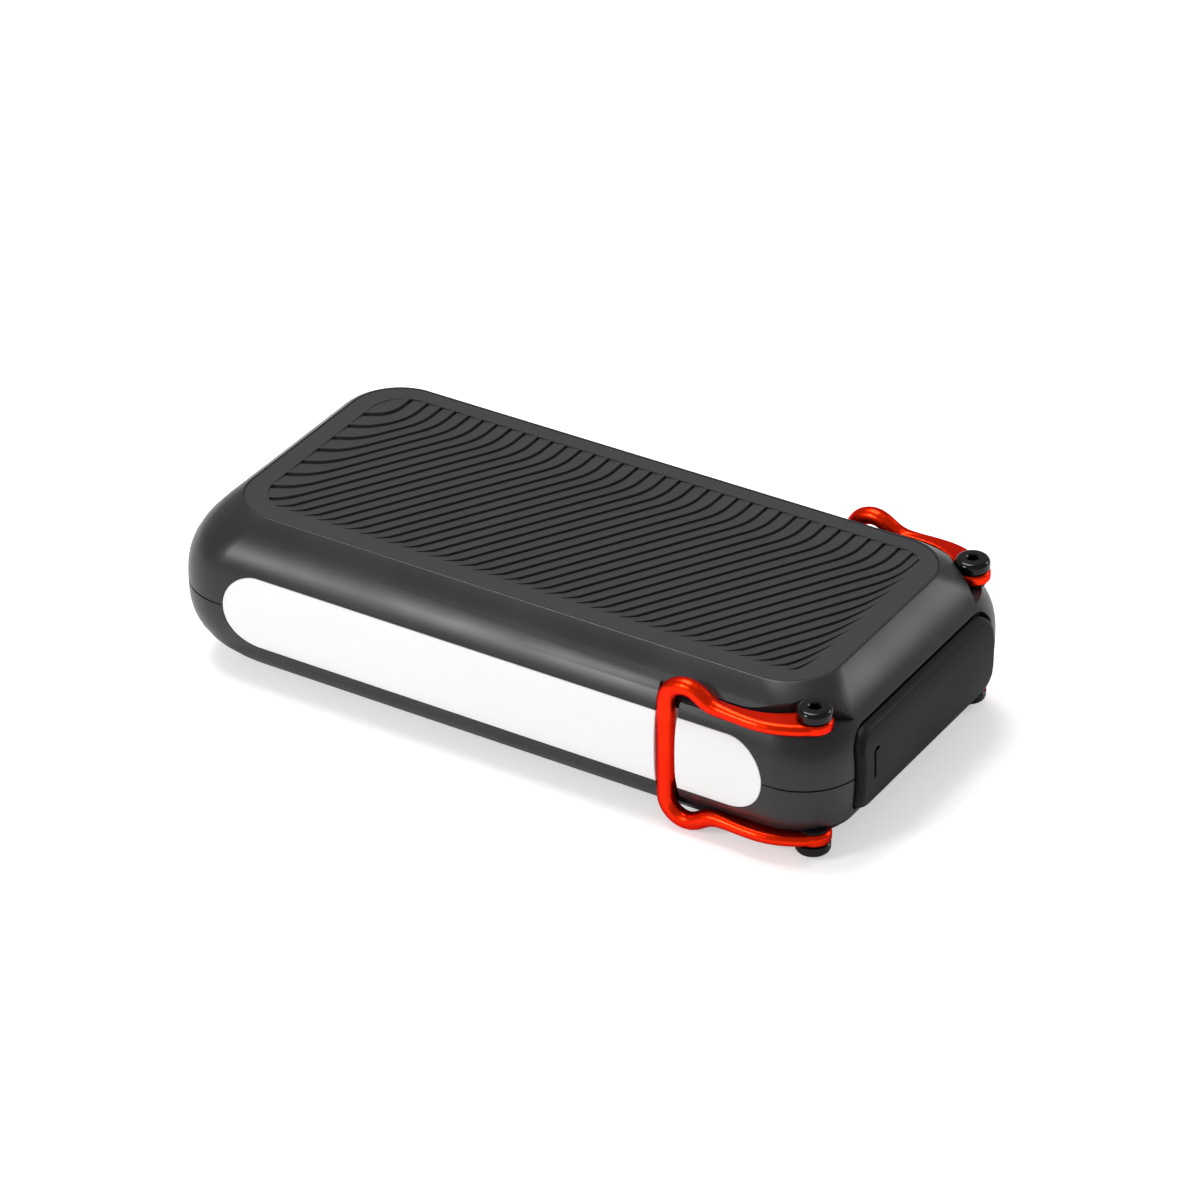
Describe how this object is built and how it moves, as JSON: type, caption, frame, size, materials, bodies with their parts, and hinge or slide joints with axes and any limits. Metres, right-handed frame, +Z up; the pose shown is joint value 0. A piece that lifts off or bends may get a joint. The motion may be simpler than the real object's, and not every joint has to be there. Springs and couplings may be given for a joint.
{
  "type": "jump starter pack",
  "caption": "Flat car jump starter pack with ribbed grip pads, a long light bar in its side, folding bails pivoted at its corners and a hinged door over its ports.",
  "frame": {"origin": "centre of the underside, midway along the length and the width", "axes": "+X towards the end with the port door, -Y out of the light bar, +Z up out of the top grip pad"},
  "size_m": [0.1716, 0.0856, 0.0388],
  "materials": {
    "cover_plastic": "satin",
    "pad_rubber": "matte",
    "bail_paint": "semi-gloss",
    "black_steel": "gloss",
    "black_plastic": "satin",
    "brass": "satin",
    "diffuser_white": "satin",
    "tray_white": "matte",
    "led_yellow": "gloss",
    "cable_white": "satin",
    "socket_blue": "satin",
    "contact_gold": "polished",
    "shell_steel": "brushed",
    "tongue_white": "satin",
    "board_green": "satin",
    "board_white": "satin",
    "screw_steel": "satin",
    "case_screw_steel": "satin",
    "ferrite": "matte",
    "chip_black": "satin",
    "can_aluminium": "brushed",
    "copper": "satin",
    "cell_pouch": "satin",
    "tab_nickel": "satin",
    "foam_grey": "matte",
    "button_orange": "satin",
    "button_grey": "satin",
    "lens_clear": "gloss",
    "led_blue": "gloss"
  },
  "bodies": {
    "pack": {"top_cover": "cover_plastic", "bottom_cover": "cover_plastic", "top_grip_pad": "pad_rubber", "bottom_grip_pad": "pad_rubber", "light_diffuser": "diffuser_white", "light_tray": "tray_white", "light_board": "board_white", "light_leds": "led_yellow", "light_cable": "cable_white", "pivot_screws": "black_steel", "pivot_bushings": "black_plastic", "pivot_inserts": "brass", "port_panel": "black_plastic", "port_door_strap": "black_plastic", "jump_socket": "socket_blue", "jump_contacts": "contact_gold", "usb_a_shell": "shell_steel", "usb_a_tongue": "tongue_white", "usb_c_shell": "shell_steel", "usb_c_tongue": "black_plastic", "main_board": "board_green", "board_screws": "screw_steel", "power_inductor": "ferrite", "power_transistors": "chip_black", "power_capacitors": "can_aluminium", "controller_chip": "chip_black", "positive_bar": "copper", "negative_bar": "copper", "battery_cell_1": "cell_pouch", "battery_cell_2": "cell_pouch", "battery_cell_3": "cell_pouch", "battery_cell_4": "cell_pouch", "cell_tabs": "tab_nickel", "cell_links": "tab_nickel", "battery_foam": "foam_grey", "control_bezel": "black_plastic", "charge_window": "lens_clear", "control_board": "board_green", "control_switches": "screw_steel", "charge_leds": "led_blue", "control_screws": "screw_steel", "control_cable": "cable_white", "case_screws": "case_screw_steel"},
    "near_bail": {"near_bail": "bail_paint"},
    "far_bail": {"far_bail": "bail_paint"},
    "port_door": {"port_door": "black_plastic"},
    "power_button": {"power_button": "button_orange"},
    "light_button": {"light_button": "button_grey"}
  },
  "joints": [
    {"name": "near_bail_swing", "type": "hinge", "parent": "pack", "child": "near_bail", "pos_m": [0.0764, -0.0345, 0.0194], "axis": [0, 0, 1], "range_deg": [0, 120]},
    {"name": "far_bail_swing", "type": "hinge", "parent": "pack", "child": "far_bail", "pos_m": [0.0764, 0.0345, 0.0194], "axis": [0, 0, 1], "range_deg": [-120, 0]},
    {"name": "port_door_swing", "type": "hinge", "parent": "pack", "child": "port_door", "pos_m": [0.0836, 0.02965, 0.0194], "axis": [0, 0, 1], "range_deg": [0, 100]},
    {"name": "power_button_press", "type": "slide", "parent": "pack", "child": "power_button", "axis": [0, -1, 0], "range_m": [0, 0.0006], "stiffness_N_per_m": 300},
    {"name": "light_button_press", "type": "slide", "parent": "pack", "child": "light_button", "axis": [0, -1, 0], "range_m": [0, 0.0006], "stiffness_N_per_m": 300}
  ]
}
